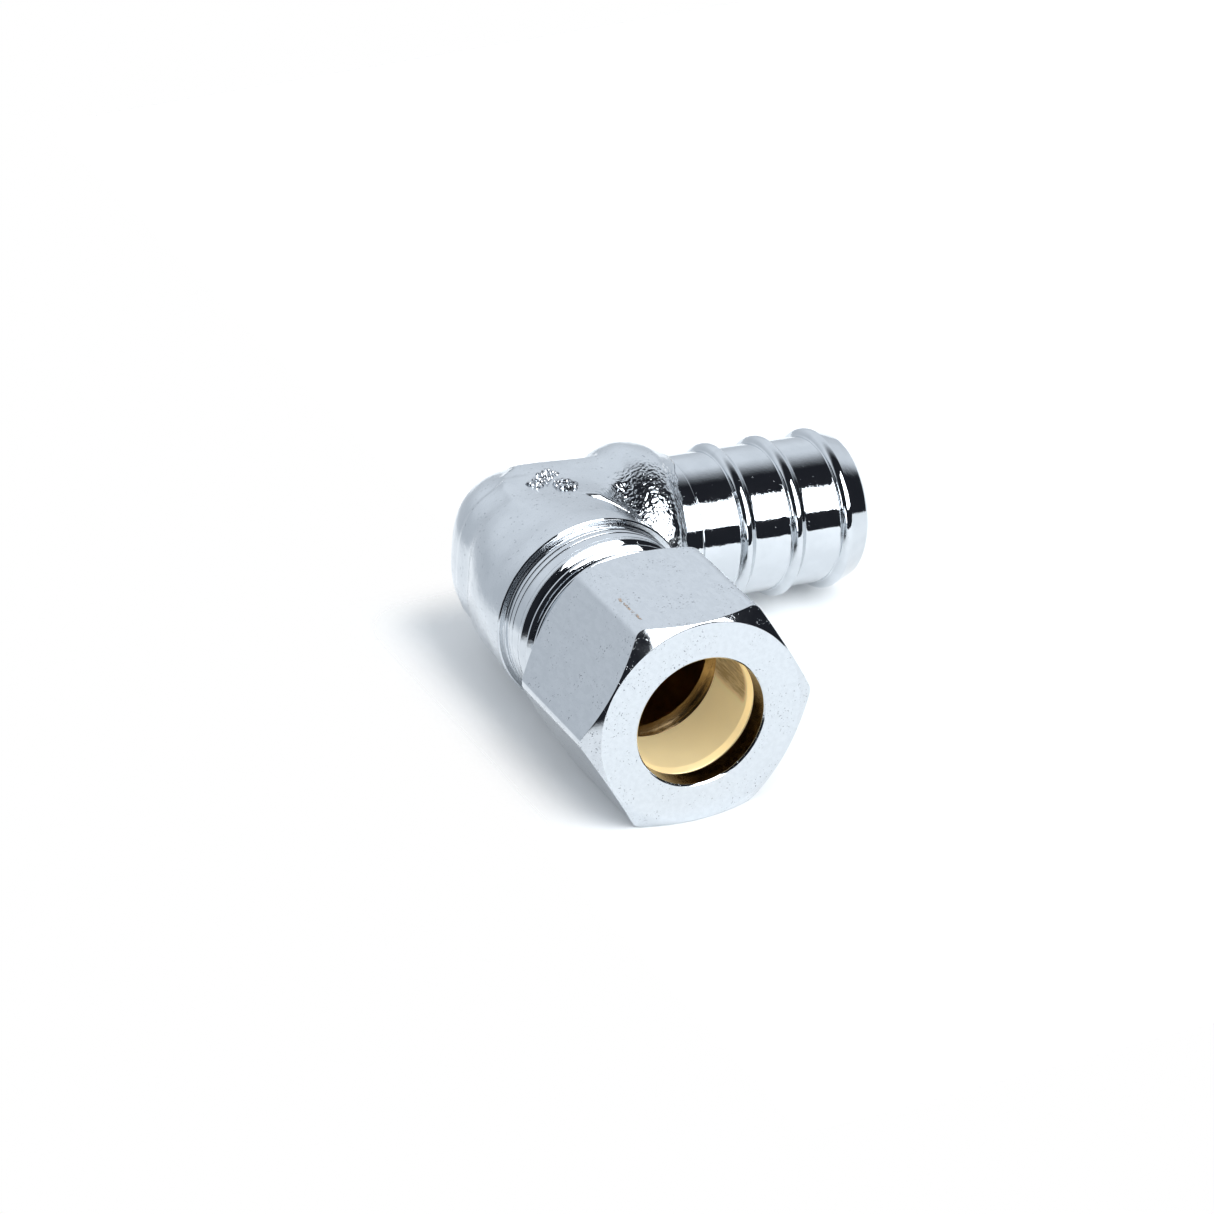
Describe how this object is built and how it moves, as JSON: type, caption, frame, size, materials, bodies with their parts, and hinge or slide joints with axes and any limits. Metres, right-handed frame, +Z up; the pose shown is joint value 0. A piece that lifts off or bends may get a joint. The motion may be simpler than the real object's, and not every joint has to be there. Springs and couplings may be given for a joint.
{
  "type": "compression fitting",
  "caption": "Chrome-plated brass elbow with a compression nut and sleeve on one leg and a ribbed insert barb on the other.",
  "frame": {"origin": "on the tube axis at the tube stop inside the compression leg, where an inserted tube ends", "axes": "-Y points out of the compression nut along the tube axis, +X points out of the barb, +Z is up"},
  "size_m": [0.0346, 0.035, 0.0164],
  "materials": {
    "elbow_chrome": "chrome plate on a forged and turned brass body",
    "nut_chrome": "chrome plate on brass",
    "sleeve_brass": "turned, unplated"
  },
  "bodies": {
    "elbow": {"elbow_body": "elbow_chrome"},
    "sleeve": {"compression_sleeve": "sleeve_brass"},
    "nut": {"compression_nut": "nut_chrome"}
  },
  "joints": [
    {"name": "sleeve_slide", "type": "slide", "parent": "elbow", "child": "sleeve", "axis": [0, -1, 0], "range_m": [-0.0011, 0.0033]},
    {"name": "nut_turn", "type": "hinge", "parent": "sleeve", "child": "nut", "pos_m": [0, -0.00885, 0], "axis": [0, -1, 0], "range_deg": [-345, 1080]}
  ],
  "couplings": [
    {"joint": "sleeve_slide", "follows": "nut_turn", "m_per_rad": 0.00016844}
  ]
}
